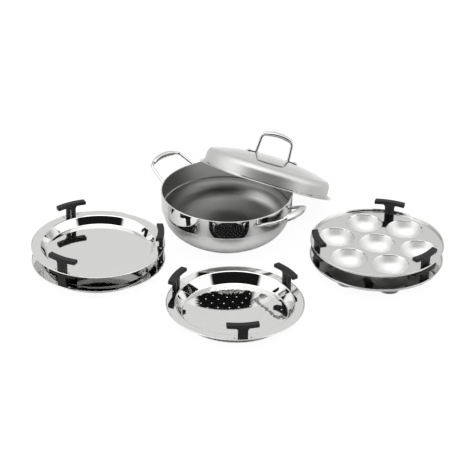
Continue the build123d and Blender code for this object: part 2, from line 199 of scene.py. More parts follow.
def steel(name, base, roughness, wander, grain=0.0, place=None, polish=None, satin=None, brushed=0.0):
    """Stainless steel sheet.

    wander bends the reflections a little, as pressed sheet does. grain is the strength of the fine
    rings that spinning and circular brushing leave round the piece's own axis. polish says where
    the sheet is mirror bright: elsewhere it has the colour and roughness of satin. brushed draws
    each highlight out into a fan across rings that were brushed round the axis. place is given for
    a piece whose pattern goes round its own axis instead of the pot's.
    """
    material, tree, shader = new_material(name)
    shader.inputs["Metallic"].default_value = 1.0
    shader.inputs["Base Color"].default_value = colour(base)
    shader.inputs["Roughness"].default_value = roughness
    coordinates = add_node(tree, "ShaderNodeTexCoord").outputs["Object"]
    if place is not None:
        back = place.inverted()
        coordinates = add_node(
            tree,
            "ShaderNodeMapping",
            {"Vector": coordinates, "Location": back.to_translation(), "Rotation": back.to_euler()},
        ).outputs[0]
    waves = add_node(
        tree, "ShaderNodeTexNoise", {"Vector": coordinates, "Scale": 1 / (wave_length * MM), "Detail": 1.0}
    )
    bumps = add_node(
        tree,
        "ShaderNodeBump",
        {"Height": waves.outputs[0], "Strength": wander, "Distance": wave_height * MM},
    )
    tree.links.new(bumps.outputs[0], shader.inputs["Normal"])
    if polish or grain:
        axes = add_node(tree, "ShaderNodeSeparateXYZ", {0: coordinates})
        flat = add_node(tree, "ShaderNodeCombineXYZ", {0: axes.outputs[0], 1: axes.outputs[1]})
        distance = add_node(tree, "ShaderNodeVectorMath", {0: flat.outputs[0]}, operation="LENGTH")
        reach = distance.outputs["Value"]
        height = axes.outputs[2]
    rough = roughness
    if polish:
        # On the pot's bowl and in the plates' hollows the satin colour is painted lighter than the steel, as
        # painted light
        satin_colour, satin_roughness = satin
        bright = polish(tree, reach, height)
        shade = add_node(
            tree,
            "ShaderNodeMix",
            {"Factor": bright, "A": colour(satin_colour), "B": colour(base)},
            data_type="RGBA",
        )
        tree.links.new(shade.outputs["Result"], shader.inputs["Base Color"])
        rough = add_node(
            tree, "ShaderNodeMix", {"Factor": bright, "A": satin_roughness, "B": roughness}
        ).outputs[0]
        tree.links.new(rough, shader.inputs["Roughness"])
    if grain:
        along = add_node(tree, "ShaderNodeMath", {0: reach, 1: height}, operation="SUBTRACT")
        ring = add_node(
            tree, "ShaderNodeMath", {0: along.outputs[0], 1: brushing_pitch * MM}, operation="DIVIDE"
        )
        lines = add_node(
            tree,
            "ShaderNodeTexNoise",
            {"W": ring.outputs[0], "Scale": 1.0, "Detail": 2.0},
            noise_dimensions="1D",
        )
        share = add_node(
            tree, "ShaderNodeMapRange", {"Value": lines.outputs[0], "To Min": 1 - grain, "To Max": 1 + grain}
        )
        spread = add_node(tree, "ShaderNodeMath", {0: share.outputs[0], 1: rough}, operation="MULTIPLY")
        tree.links.new(spread.outputs[0], shader.inputs["Roughness"])
    if brushed:
        shader.inputs["Anisotropic"].default_value = brushed
        round_axis = add_node(tree, "ShaderNodeTangent", direction_type="RADIAL", axis="Z")
        tree.links.new(round_axis.outputs[0], shader.inputs["Tangent"])
    return material


def band_polish_and_bowl_light(tree, reach, height):
    """The pot's outside is mirror bright on its band alone, above the band's rounded foot; below it the satin
    is painted lighter, as painted light on the bowl.
    """
    foot_level = pot_height - band_height + ledge_width
    above = add_node(tree, "ShaderNodeMath", {0: height, 1: foot_level * MM}, operation="GREATER_THAN")
    return above.outputs[0]


def lid_polish(tree, reach, height):
    """The lid is mirror bright on its dome and its drip flange, and satin on the skirt between them."""
    flange_start = lid_radius - drip_flange_width
    skirt_start = flange_start - lid_ledge_width - lid_shoulder_radius / 2
    dome = add_node(tree, "ShaderNodeMath", {0: reach, 1: skirt_start * MM}, operation="LESS_THAN")
    flange = add_node(tree, "ShaderNodeMath", {0: reach, 1: flange_start * MM}, operation="GREATER_THAN")
    either = add_node(tree, "ShaderNodeMath", {0: dome.outputs[0], 1: flange.outputs[0]}, operation="ADD")
    return either.outputs[0]


def deck_polish_and_hollow_light(tree, reach, height):
    """Both plates with hollows are mirror bright on deck and lip, and satin in the hollows, where the satin
    is painted lighter than the deck as painted light.
    """
    brow_level = idli_deck_height - bright_brow
    own = add_node(tree, "ShaderNodeMath", {0: height, 1: stack_pitch * MM}, operation="MODULO")
    above = add_node(
        tree, "ShaderNodeMath", {0: own.outputs[0], 1: brow_level * MM}, operation="GREATER_THAN"
    )
    return above.outputs[0]


def phenolic(name):
    """Black compression-moulded phenolic: semi-matt, faintly mottled, a soft sheen on its rounds."""
    material, tree, shader = new_material(name)
    coordinates = add_node(tree, "ShaderNodeTexCoord").outputs["Object"]
    mottle = add_node(
        tree, "ShaderNodeTexNoise", {"Vector": coordinates, "Scale": 1 / (mottle_size * MM), "Detail": 3.0}
    )
    shade = add_node(
        tree,
        "ShaderNodeMix",
        {"Factor": mottle.outputs[0], "A": colour("#0b0b0c"), "B": colour("#131314")},
        data_type="RGBA",
    )
    tree.links.new(shade.outputs["Result"], shader.inputs["Base Color"])
    shader.inputs["Roughness"].default_value = 0.45
    shader.inputs["IOR"].default_value = 1.55
    shader.inputs["Specular IOR Level"].default_value = 0.22
    bump = add_node(
        tree,
        "ShaderNodeBump",
        {"Height": mottle.outputs[0], "Strength": 0.15, "Distance": mottle_depth * MM},
    )
    tree.links.new(bump.outputs[0], shader.inputs["Normal"])
    return material


def arc(centre, radii, start, end, steps):
    """Points of an elliptical arc, angles in degrees."""
    points = []
    for index in range(steps + 1):
        angle = math.radians(start + (end - start) * index / steps)
        points.append((centre[0] + radii[0] * math.cos(angle), centre[1] + radii[1] * math.sin(angle)))
    return points


def ring_points(centre, radius, steps):
    """Points of a whole circle in the plane, its start not repeated."""
    return arc(centre, (radius, radius), 0, 360, steps)[:-1]


def unit(start, end):
    """Unit step from one point to the next."""
    length = math.hypot(end[0] - start[0], end[1] - start[1])
    return ((end[0] - start[0]) / length, (end[1] - start[1]) / length)


def bent_line(corners, bends, steps):
    """A polyline whose inner corners are rounded with the given radii."""
    points = [corners[0]]
    for index, radius in enumerate(bends):
        corner = corners[index + 1]
        back = unit(corner, corners[index])
        ahead = unit(corner, corners[index + 2])
        cosine = max(-1.0, min(1.0, back[0] * ahead[0] + back[1] * ahead[1]))
        half = math.acos(cosine) / 2
        reach = radius / math.tan(half)
        start = (corner[0] + back[0] * reach, corner[1] + back[1] * reach)
        middle = (back[0] + ahead[0], back[1] + ahead[1])
        size = math.hypot(*middle)
        centre = (
            corner[0] + middle[0] / size * radius / math.sin(half),
            corner[1] + middle[1] / size * radius / math.sin(half),
        )
        end = (corner[0] + ahead[0] * reach, corner[1] + ahead[1] * reach)
        first = math.atan2(start[1] - centre[1], start[0] - centre[0])
        sweep = math.atan2(end[1] - centre[1], end[0] - centre[0]) - first
        sweep = (sweep + math.pi) % (2 * math.pi) - math.pi
        points += arc(centre, (radius, radius), math.degrees(first), math.degrees(first + sweep), steps)
    points.append(corners[-1])
    return points


def sheet_lines(corners, bends, thickness, steps=12):
    """Underside and top of a bent sheet whose underside runs through corners."""
    upper = []
    upper_bends = []
    last = len(corners) - 1
    for index, point in enumerate(corners):
        before = unit(corners[index - 1], point) if index else None
        after = unit(point, corners[index + 1]) if index < last else None
        before = before or after
        after = after or before
        turn = math.atan2(
            before[0] * after[1] - before[1] * after[0], before[0] * after[0] + before[1] * after[1]
        )
        mitre = thickness * math.tan(turn / 2)
        across = point[0] - before[1] * thickness - before[0] * mitre
        along = point[1] + before[0] * thickness - before[1] * mitre
        upper.append((across, along))
        if 0 < index < last:
            upper_bends.append(bends[index - 1] + (thickness if turn < 0 else -thickness))
    return bent_line(corners, bends, steps), bent_line(upper, upper_bends, steps)


def new_object(name, data):
    """An object in the scene, at the origin."""
    made = bpy.data.objects.new(name, data)
    bpy.context.scene.collection.objects.link(made)
    return made


def smooth(mesh, crease=sheet_crease):
    """Shade a mesh smooth but for its creases."""
    mesh.shade_smooth()
    mesh.set_sharp_from_angle(angle=math.radians(crease))


def merge(mesh):
    """Join points that lie on each other."""
    work = bmesh.new()
    work.from_mesh(mesh)
    bmesh.ops.remove_doubles(work, verts=work.verts, dist=tiny)
    work.to_mesh(mesh)
    work.free()


def finish_mesh(name, verts, faces, place=None):
    """A smooth-shaded object from millimetre points, with its place in its mesh."""
    mesh = bpy.data.meshes.new(name)
    mesh.from_pydata([tuple(value * MM for value in vert) for vert in verts], [], faces)
    if place is not None:
        mesh.transform(place)
    smooth(mesh)
    mesh.validate()
    return new_object(name, mesh)


def lathe(profile, steps):
    """Points and faces of a profile turned round Z. Material lies on the profile's left."""
    verts = []
    rings = []
    for radius, level in profile:
        if radius < tiny:
            rings.append([len(verts)] * steps)
            verts.append((0, 0, level))
            continue
        rings.append(list(range(len(verts), len(verts) + steps)))
        verts.extend([(x, y, level) for x, y in ring_points((0, 0), radius, steps)])
    faces = []
    for lower, upper in zip(rings, rings[1:]):
        for step in range(steps):
            other = (step + 1) % steps
            corners = [lower[step], lower[other], upper[other], upper[step]]
            face = [corner for index, corner in enumerate(corners) if corner not in corners[:index]]
            if len(face) > 2:
                faces.append(face)
    return verts, faces


def pot_shell():
    """Profile of the spun pot, outside first."""
    ledge_level = pot_height - band_height
    mouth = pot_rim_radius - band_draft - ledge_width
    turn = (mouth, ledge_level + ledge_width)
    foot = bowl_foot_radius
    outside = [(0, 0), (foot / 2, 0)]
    outside += arc((foot, ledge_level), (mouth - foot, ledge_level), 270, 360, steps=48)
    outside += arc(turn, (ledge_width, ledge_width), 270, 360, steps=8)[1:]
    outside += [(pot_rim_radius, pot_height - pot_rim_bead)]
    bead = (pot_rim_radius - pot_rim_bead, pot_height - pot_rim_bead)
    bead_line = arc(bead, (pot_rim_bead, pot_rim_bead), 0, 210, steps=16)[1:]
    inside = [(pot_rim_radius - pot_wall, bead[1] - pot_rim_bead)]
    inside += arc(turn, (ledge_width - pot_wall, ledge_width - pot_wall), 360, 270, steps=8)
    inside += [(mouth - pot_wall, ledge_level + pot_wall)]
    inside += arc((foot, ledge_level), (mouth - foot - pot_wall, ledge_level - pot_wall), 360, 270, steps=48)
    inside += [(foot / 2, pot_wall), (0, pot_wall)]
    return outside + bead_line + inside


def lid_profile():
    """Profile of the lid, underside first, with the flange down."""
    floor = lid_step_rise
    drip_inner = lid_radius - drip_flange_width
    ledge_inner = drip_inner - lid_ledge_width
    centre = lid_height - lid_dome_radius

    def skin(offset):
        """Dome and skirt of one surface, from the axis to the skirt's foot."""
        radius = lid_dome_radius + offset
        foot = ledge_inner + lid_sheet + offset
        head = foot - lid_skirt_draft
        round_radius = lid_shoulder_radius + offset
        # The shoulder's arc touches the dome from inside and the skirt line
        slope = math.atan2(lid_skirt_draft, math.sqrt(radius**2 - head**2) + centre - floor)
        low = 0.0
        high = head
        for _ in range(solving_rounds):
            across = (low + high) / 2
            rise = math.sqrt((radius - round_radius) ** 2 - across**2) + centre
            gap = (foot - across) * math.cos(slope) + (floor - rise) * math.sin(slope)
            if gap > round_radius:
                low = across
            else:
                high = across
        dome_end = math.degrees(math.atan2(rise - centre, across))
        dome = arc((0, centre), (radius, radius), 90, dome_end, steps=40)
        dome[0] = (0, centre + radius)
        shoulder = arc((across, rise), (round_radius, round_radius), dome_end, math.degrees(slope), steps=14)
        return dome + shoulder[1:] + [(foot, floor)]

    under = skin(-lid_sheet)
    outer = skin(0)[::-1]
    outer[0] = (outer[0][0], floor + lid_sheet)
    ledge = [(drip_inner, floor), (drip_inner, 0), (lid_radius - lid_hem, 0)]
    # The hem rolls up round the flange's edge, and the flange's top slopes up to it
    hem = arc((lid_radius - lid_hem, lid_hem), (lid_hem, lid_hem), -80, 124.3, steps=11)
    back = [(drip_inner + lid_sheet, lid_sheet), (drip_inner + lid_sheet, floor + lid_sheet)]
    return under + ledge + hem + back + outer


def lid_place():
    """Where the leaning lid's own frame lies: the same lean as the model's."""
    rim_radius = pot_rim_radius + contact_gap
    inner_radius = lid_radius - drip_flange_width - contact_gap
    target = rim_entry_share * (lid_height - lid_sheet)
    low = math.radians(5)
    high = math.radians(80)
    for _ in range(solving_rounds):
        tilt = (low + high) / 2
        level = (lid_radius - lid_hem) * math.sin(tilt) + lid_hem * (1 - math.cos(tilt)) + contact_gap
        crossing = (level - pot_height) / math.tan(tilt)
        along = crossing / math.cos(tilt)
        distance = math.sqrt(max(rim_radius**2 - inner_radius**2 + along**2, 0)) - crossing
        entry = (rim_radius - distance) * math.sin(tilt) + (pot_height - level) * math.cos(tilt)
        if entry > target:
            high = tilt
        else:
            low = tilt
    spin = Matrix.Rotation(math.radians(lid_azimuth), 4, "Z")
    shift = Matrix.Translation(Vector((distance, 0, level)) * MM)
    handle = Matrix.Rotation(math.radians(lid_handle_turn), 4, "Z")
    return spin @ shift @ Matrix.Rotation(tilt, 4, "Y") @ handle


def loop_line(spread, reach, lean, crown_radius):
    """Points of a handle loop from foot to foot: a leg, a bend, the crown's arc, a bend, a leg."""
    slope = math.radians(lean)
    crown = reach - crown_radius
    inner_radius = crown_radius - loop_bend_radius
    rise = spread / 2 * math.cos(slope) - crown * math.sin(slope) - loop_bend_radius
    start = math.asin(rise / inner_radius) - slope
    bend = (inner_radius * math.sin(start), crown + inner_radius * math.cos(start))
    round_end = 90 - math.degrees(start)
    right = [(spread / 2 + leg_end_depth * math.sin(slope), -leg_end_depth * math.cos(slope))]
    right += arc(bend, (loop_bend_radius, loop_bend_radius), lean, round_end, steps=20)
    right += arc((0, crown), (crown_radius, crown_radius), round_end, 90, steps=20)[1:]
    return right + [(-x, y) for x, y in right[-2::-1]]


def ring_tube(line, sizes, sides):
    """A closed tube along a line in the XY plane; each ring has a half depth along Z and a half width."""
    verts = []
    faces = []
    for index, point in enumerate(line):
        before = line[max(index - 1, 0)]
        after = line[min(index + 1, len(line) - 1)]
        step = unit(before, after)
        side = (-step[1], step[0])
        deep, wide = sizes[index]
        for across, up in ring_points((0, 0), 1, sides):
            verts.append((point[0] + side[0] * wide * across, point[1] + side[1] * wide * across, deep * up))
    for low in range(0, (len(line) - 1) * sides, sides):
        for corner in range(sides):
            other = (corner + 1) % sides
            faces.append((low + corner, low + sides + corner, low + sides + other, low + other))
    faces.append(tuple(range(sides)))
    faces.append(tuple(range(len(line) * sides - 1, (len(line) - 1) * sides - 1, -1)))
    return verts, faces


def loop_frame(origin, across, outward):
    """Place of a loop drawn in X (foot to foot) and Y (outwards), in metres."""
    normal = Vector(across).cross(Vector(outward))
    matrix = Matrix((Vector(across), Vector(outward), normal)).transposed().to_4x4()
    matrix.translation = Vector(origin) * MM
    return matrix


def loop_pieces(name, spread, reach, lean, crown_radius, place):
    """Rod and grip of one handle loop."""
    line = loop_line(spread, reach, lean, crown_radius)
    round_rod = [(rod_radius, rod_radius)] * len(line)
    rod = finish_mesh(name + "_rod", *ring_tube(line, round_rod, rod_sides), place)
    # The grip swells from its collars to full size: a long even middle between blunt shoulders
    evenness = 2.6
    bluntness = 0.7
    half = grip_length / 2 / crown_radius
    end_radius = rod_radius + grip_collar
    crown = reach - crown_radius
    stations = []
    sizes = []
    for index in range(grip_stations + 1):
        share = -math.cos(math.pi * index / grip_stations)
        angle = share * half
        fullness = (1 - abs(share) ** evenness) ** bluntness
        stations.append((crown_radius * math.sin(angle), crown + crown_radius * math.cos(angle)))
        ring = [end_radius + (size / 2 - end_radius) * fullness for size in (grip_width, grip_thickness)]
        sizes.append(ring)
    grip = finish_mesh(name + "_grip", *ring_tube(stations[::-1], sizes, grip_sides), place)
    return rod, grip


def coat(piece, material):
    """Give a piece one material and no other."""
    piece.data.materials.clear()
    piece.data.materials.append(material)


def dressed(piece, body, material, node):
    """Give a finished piece its material, its body and the node that it stands for."""
    coat(piece, material)
    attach(piece, body)
    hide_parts(node)
    return piece


def line_pot(shell):
    """Give the inside of the pot, up to its bead, the brushed finish, whose darker colour is painted shade
    inside the pot.
    """
    shell.data.materials.append(pot_inside_shaded_steel)
    bead_level = (pot_height - 2 * pot_rim_bead) * MM
    least_upward = 0.1
    for face in shell.data.polygons:
        inward = face.normal.x * face.center.x + face.normal.y * face.center.y < 0
        if (inward or face.normal.z > least_upward) and face.center.z < bead_level:
            face.material_index = 1


def build_pot():
    """The pot's shell and its two loop handles."""
    shell = finish_mesh("pot_shell", *lathe(pot_shell(), lathe_steps))
    line_pot(dressed(shell, "pot", pot_steel, "pot_body"))
    foot_level = pot_height - pot_handle_drop
    band_rise = band_height - ledge_width - pot_rim_bead
    band_at_foot = pot_rim_radius - band_draft * (pot_handle_drop - pot_rim_bead) / band_rise
    foot_radius = band_at_foot + pad_thickness
    setback = math.sqrt(foot_radius**2 - (pot_handle_spread / 2) ** 2)
    slope = math.radians(pot_handle_rise)
    for side, turn in (("left", pot_handle_turn), ("right", pot_handle_turn - 180)):
        spin = Matrix.Rotation(math.radians(turn), 4, "Z")
        place = spin @ loop_frame((setback, 0, foot_level), (0, 1, 0), (math.cos(slope), 0, math.sin(slope)))
        rod, grip = loop_pieces(
            f"pot_{side}",
            pot_handle_spread,
            pot_handle_reach,
            pot_handle_lean,
            pot_handle_crown_radius,
            place,
        )
        dressed(rod, "pot", rod_steel, f"pot_handle_rod_{side}")
        dressed(grip, "pot", rod_steel, f"pot_handle_grip_{side}")
        coat(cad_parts[f"pot_handle_pads_{side}"], rod_steel)


def build_lid():
    """The lid's shell and its handle."""
    place = lid_place()
    skin = finish_mesh("lid_skin", *lathe(lid_profile(), lathe_steps), place)
    dressed(skin, "lid", lid_steel, "lid_shell")
    centre = lid_height - lid_dome_radius
    foot_level = centre + math.sqrt((lid_dome_radius + foot_thickness) ** 2 - (lid_handle_spread / 2) ** 2)
    loop = place @ loop_frame((0, 0, foot_level), (1, 0, 0), (0, 0, 1))
    rod, grip = loop_pieces(
        "lid", lid_handle_spread, lid_handle_reach, lid_handle_lean, lid_handle_crown_radius, loop
    )
    dressed(rod, "lid", rod_steel, "lid_handle_rod")
    dressed(grip, "lid", rod_steel, "lid_handle_grip")
    for name in ("lid_handle_feet", "lid_rivets"):
        coat(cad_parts[name], rod_steel)


def well_profile(height, well_radius, floor_radius):
    """Section of a plate with a deep well, underside first."""
    flange = height - plate_sheet
    corners = [(0, 0), (floor_radius, 0), (well_radius, flange), (plate_radius - plate_hem, flange)]
    under, top = sheet_lines(corners, [well_floor_bend, well_mouth_bend], plate_sheet)
    middle = (plate_radius - plate_hem, height - plate_sheet / 2)
    edge = math.degrees(math.asin(plate_sheet / 2 / plate_hem))
    hem = arc(middle, (plate_hem, plate_hem), -180 + edge, 180 - edge, steps=18)
    return under[:-1] + hem + top[-2::-1]


def idli_rim():
    """Section of the deck's edge: its low wall and the hem that the wall runs into."""
    deck = idli_deck_height - plate_sheet
    corners = [
        (hollow_ring_radius, deck),
        (deck_radius, deck),
        (deck_radius + lip_run, deck + lip_rise),
        (plate_radius - plate_hem, deck + lip_rise),
    ]
    under, top = sheet_lines(corners, [lip_bend + plate_sheet, lip_bend], plate_sheet, steps=6)
    middle = (plate_radius - plate_hem, deck + lip_rise + plate_sheet / 2)
    under = [point for point in under if math.dist(point, middle) > plate_hem]
    top = [point for point in top if math.dist(point, middle) > plate_hem]
    start, end = (
        math.degrees(math.atan2(line[-1][1] - middle[1], line[-1][0] - middle[0])) for line in (under, top)
    )
    return under[1:] + arc(middle, (plate_hem, plate_hem), start, end, steps=18) + top[:0:-1]


def hollow_lines():
    """Underside and top of one hollow, from its middle out to its collar."""
    deck = idli_deck_height - plate_sheet
    floor = hollow_floor_share * hollow_radius
    fall = math.atan2(hollow_depth, hollow_radius - floor)
    great_bend = hollow_fill_share * floor / math.tan(fall / 2)
    corners = [(0, 0), (floor, 0), (hollow_radius, deck), (hollow_radius + hollow_collar, deck)]
    return sheet_lines(corners, [great_bend, hollow_mouth_bend - plate_sheet], plate_sheet, steps=24)


def hollow_spots():
    """Middles of the seven hollows."""
    spots = [(0.0, 0.0)]
    for index in range(hollows_in_ring):
        angle = 2 * math.pi * (index + 0.5) / hollows_in_ring
        spots.append((hollow_ring_radius * math.cos(angle), hollow_ring_radius * math.sin(angle)))
    return spots


def deck_side(edge, upward):
    """One side of the deck, out to its edge, with a round opening for each hollow's collar."""
    radius, level = edge
    collar = hollow_radius + hollow_collar
    spots = hollow_spots()
    loops = [ring_points((0, 0), radius, deck_steps)]
    loops += [ring_points(spot, collar, hollow_steps) for spot in spots]
    points = []
    edges = []
    for loop in loops:
        start = len(points)
        points.extend([Vector(point) for point in loop])
        edges.extend([(start + step, start + (step + 1) % len(loop)) for step in range(len(loop))])
    flat, _, cells, *_ = delaunay_2d_cdt(points, edges, [], 0, tiny)
    faces = []
    for cell in cells:
        middle = sum((flat[corner] for corner in cell), Vector((0, 0))) / len(cell)
        in_hollow = any((middle - Vector(spot)).length < collar * inside_share for spot in spots)
        if middle.length > radius or in_hollow:
            continue
        area = sum(flat[cell[index - 1]].cross(flat[corner]) for index, corner in enumerate(cell))
        faces.append(tuple(cell) if (area > 0) == upward else tuple(reversed(cell)))
    return [(point.x, point.y, level) for point in flat], faces


def idli_form():
    """Points and faces of a plate with hollows: its edge, the hollows and both sides of its deck."""
    rim = idli_rim()
    parts = [lathe(rim, deck_steps)]
    under, top = hollow_lines()
    for x, y in hollow_spots():
        for line in (under, top[::-1]):
            bowl, bowl_faces = lathe(line, hollow_steps)
            parts.append(([(point[0] + x, point[1] + y, point[2]) for point in bowl], bowl_faces))
    parts.append(deck_side(rim[0], upward=False))
    parts.append(deck_side(rim[-1], upward=True))
    verts = []
    faces = []
    for part_verts, part_faces in parts:
        start = len(verts)
        verts.extend(part_verts)
        faces.extend([tuple(start + corner for corner in face) for face in part_faces])
    return verts, faces


def idli_sheet(name, form, place):
    """A plate with hollows as one piece, its parts joined before it goes to its place."""
    piece = finish_mesh(name, *form)
    merge(piece.data)
    piece.data.transform(place)
    smooth(piece.data)
    return piece


def moulded_copy(node, name):
    """A merged, smooth-shaded copy of a solid of the model."""
    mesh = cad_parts[node].data.copy()
    merge(mesh)
    smooth(mesh, moulding_crease)
    return new_object(name, mesh)


def plate_place(node, turn):
    """Where a plate's own frame lies: its middle from the frame, its turn from the layout."""
    low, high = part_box(node)
    middle = (low + high) / 2
    return Matrix.Translation((middle.x, middle.y, low.z)) @ Matrix.Rotation(math.radians(turn), 4, "Z")


def node_group(name, inputs):
    """A geometry tree with named inputs and one geometry output."""
    tree = bpy.data.node_groups.new(name, "GeometryNodeTree")
    tree.interface.new_socket("Geometry", in_out="INPUT", socket_type="NodeSocketGeometry")
    for label, kind, value in inputs:
        socket = tree.interface.new_socket(label, in_out="INPUT", socket_type=kind)
        socket.default_value = value
    tree.interface.new_socket("Geometry", in_out="OUTPUT", socket_type="NodeSocketGeometry")
    return tree, tree.nodes.new("NodeGroupInput"), tree.nodes.new("NodeGroupOutput")


def drilled_tree():
    """Geometry tree that drills a hole in a plate's middle and rings of steam holes round it."""
    tree, given, result = node_group(
        "steam holes",
        [
            ("Rings", "NodeSocketInt", hole_rings),
            ("Pitch", "NodeSocketFloat", hole_ring_pitch * MM),
            ("Hole Radius", "NodeSocketFloat", hole_radius * MM),
            ("Depth", "NodeSocketFloat", drill_depth * MM),
        ],
    )
    known = {"rings": given.outputs["Rings"], "pitch": given.outputs["Pitch"]}
    known["index"] = add_node(tree, "GeometryNodeInputIndex").outputs[0]
    # Ring n has n * 2 * half holes, so 1 + half * n * (n - 1) holes lie inside it. Solved for n,
    # that gives a hole's ring from its index. Each row names a result, its operation and its terms.
    half = holes_per_ring_step / 2
    for name, operation, *terms in (
        ("rings and one", "ADD", "rings", 1.0),
        ("rings product", "MULTIPLY", "rings", "rings and one"),
        ("holes", "MULTIPLY_ADD", "rings product", half, 1.0),
        ("square", "MULTIPLY_ADD", "index", 4 * half, half**2 - 4 * half),
        ("square or none", "MAXIMUM", "square", 0.0),
        ("root", "SQRT", "square or none"),
        ("root and half", "ADD", "root", half),
        ("ring reached", "DIVIDE", "root and half", 2 * half),
        ("ring", "FLOOR", "ring reached"),
        ("ring before", "SUBTRACT", "ring", 1.0),
        ("ring product", "MULTIPLY", "ring", "ring before"),
        ("holes before", "MULTIPLY_ADD", "ring product", half, 1.0),
        ("place in ring", "SUBTRACT", "index", "holes before"),
        ("holes in ring", "MULTIPLY", "ring", 2 * half),
        ("steps", "MAXIMUM", "holes in ring", 1.0),
        ("shifted", "MULTIPLY_ADD", "ring", 0.5, "place in ring"),
        ("share", "DIVIDE", "shifted", "steps"),
        ("turn", "MULTIPLY", "share", 2 * math.pi),
        ("cosine", "COSINE", "turn"),
        ("sine", "SINE", "turn"),
        ("reach", "MULTIPLY", "ring", "pitch"),
        ("across", "MULTIPLY", "reach", "cosine"),
        ("along", "MULTIPLY", "reach", "sine"),
    ):
        inputs = {place: known.get(term, term) for place, term in enumerate(terms)}
        known[name] = add_node(tree, "ShaderNodeMath", inputs, operation=operation).outputs[0]
    points = add_node(tree, "GeometryNodePoints", {"Count": known["holes"]})
    spot = add_node(tree, "ShaderNodeCombineXYZ", {0: known["across"], 1: known["along"]})
    placed = add_node(
        tree, "GeometryNodeSetPosition", {"Geometry": points.outputs[0], "Position": spot.outputs[0]}
    )
    drill = add_node(
        tree,
        "GeometryNodeMeshCylinder",
        {"Vertices": hole_sides, "Radius": given.outputs["Hole Radius"], "Depth": given.outputs["Depth"]},
    )
    drills = add_node(
        tree,
        "GeometryNodeInstanceOnPoints",
        {"Points": placed.outputs[0], "Instance": drill.outputs["Mesh"]},
    )
    real = add_node(tree, "GeometryNodeRealizeInstances", {"Geometry": drills.outputs[0]})
    cut = add_node(
        tree,
        "GeometryNodeMeshBoolean",
        {"Mesh 1": given.outputs["Geometry"], "Mesh 2": real.outputs[0]},
        operation="DIFFERENCE",
    )
    finish = add_node(
        tree, "GeometryNodeSetMaterial", {"Geometry": cut.outputs[0], "Material": plate_steel}
    )
    tree.links.new(finish.outputs[0], result.inputs[0])
    return tree


def rivet_tree():
    """Geometry tree that sets a domed head at each rivet of a plate, two beside each handle."""
    tree, given, result = node_group(
        "rivet heads",
        [
            ("Handles", "NodeSocketInt", tees_per_plate),
            ("Circle Radius", "NodeSocketFloat", tee_circle_radius * MM),
            ("Spacing", "NodeSocketFloat", rivet_spacing * MM),
            ("Head Radius", "NodeSocketFloat", rivet_head_radius * MM),
            ("Head Height", "NodeSocketFloat", rivet_head_height * MM),
            ("Level", "NodeSocketFloat", 0.0),
        ],
    )
    known = {"handles": given.outputs["Handles"], "spacing": given.outputs["Spacing"]}
    known["index"] = add_node(tree, "GeometryNodeInputIndex").outputs[0]
    # Each row names a result, its operation and its terms
    for name, operation, *terms in (
        ("count", "MULTIPLY", "handles", 2.0),
        ("pairs", "DIVIDE", "index", 2.0),
        ("handle", "FLOOR", "pairs"),
        ("rivets before", "MULTIPLY", "handle", 2.0),
        ("place in pair", "SUBTRACT", "index", "rivets before"),
        ("side", "SUBTRACT", "place in pair", 0.5),
        ("along", "MULTIPLY", "side", "spacing"),
        ("share", "DIVIDE", "handle", "handles"),
        ("turn", "MULTIPLY", "share", 2 * math.pi),
    ):
        inputs = {place: known.get(term, term) for place, term in enumerate(terms)}
        known[name] = add_node(tree, "ShaderNodeMath", inputs, operation=operation).outputs[0]
    points = add_node(tree, "GeometryNodePoints", {"Count": known["count"]})
    spot = add_node(
        tree,
        "ShaderNodeCombineXYZ",
        {0: given.outputs["Circle Radius"], 1: known["along"], 2: given.outputs["Level"]},
    )
    turned = add_node(
        tree,
        "ShaderNodeVectorRotate",
        {"Vector": spot.outputs[0], "Angle": known["turn"]},
        rotation_type="Z_AXIS",
    )
    placed = add_node(
        tree, "GeometryNodeSetPosition", {"Geometry": points.outputs[0], "Position": turned.outputs[0]}
    )
    ball = add_node(tree, "GeometryNodeMeshUVSphere", {"Segments": 24, "Rings": 16, "Radius": 1.0})
    size = add_node(
        tree,
        "ShaderNodeCombineXYZ",
        {0: given.outputs["Head Radius"], 1: given.outputs["Head Radius"], 2: given.outputs["Head Height"]},
    )
    heads = add_node(
        tree,
        "GeometryNodeInstanceOnPoints",
        {"Points": placed.outputs[0], "Instance": ball.outputs["Mesh"], "Scale": size.outputs[0]},
    )
    real = add_node(tree, "GeometryNodeRealizeInstances", {"Geometry": heads.outputs[0]})
    rounded = add_node(tree, "GeometryNodeSetShadeSmooth", {"Geometry": real.outputs[0]})
    finish = add_node(
        tree, "GeometryNodeSetMaterial", {"Geometry": rounded.outputs[0], "Material": rivet_steel}
    )
    tree.links.new(finish.outputs[0], result.inputs[0])
    return tree


def baked(name, mesh, tree, inputs, place):
    """Run a geometry tree on a mesh and keep the result as a plain mesh in its place."""
    source = new_object(name + "_source", mesh)
    modifier = source.modifiers.new("tree", "NODES")
    modifier.node_group = tree
    sockets = {item.name: item.identifier for item in tree.interface.items_tree if item.in_out == "INPUT"}
    for label, value in inputs.items():
        modifier[sockets[label]] = value
    bpy.context.view_layer.update()
    evaluated = source.evaluated_get(bpy.context.evaluated_depsgraph_get())
    result = bpy.data.meshes.new_from_object(evaluated)
    result.name = name
    source.modifiers.clear()
    bpy.data.objects.remove(source)
    result.transform(place)
    return new_object(name, result)


def build_fittings(name, place, flange_top):
    """T-shaped handles, brackets and rivets of one plate."""
    for index in range(1, tees_per_plate + 1):
        node = f"{name}_handle_{index}"
        dressed(moulded_copy(node, f"{name}_tee_{index}"), name, tee_phenolic, node)
    coat(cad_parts[name + "_brackets"], rivet_steel)
    empty = bpy.data.meshes.new("none")
    heads = baked(name + "_rivet_heads", empty, rivets_tree, {"Level": flange_top * MM}, place)
    dressed(heads, name, rivet_steel, name + "_rivets")


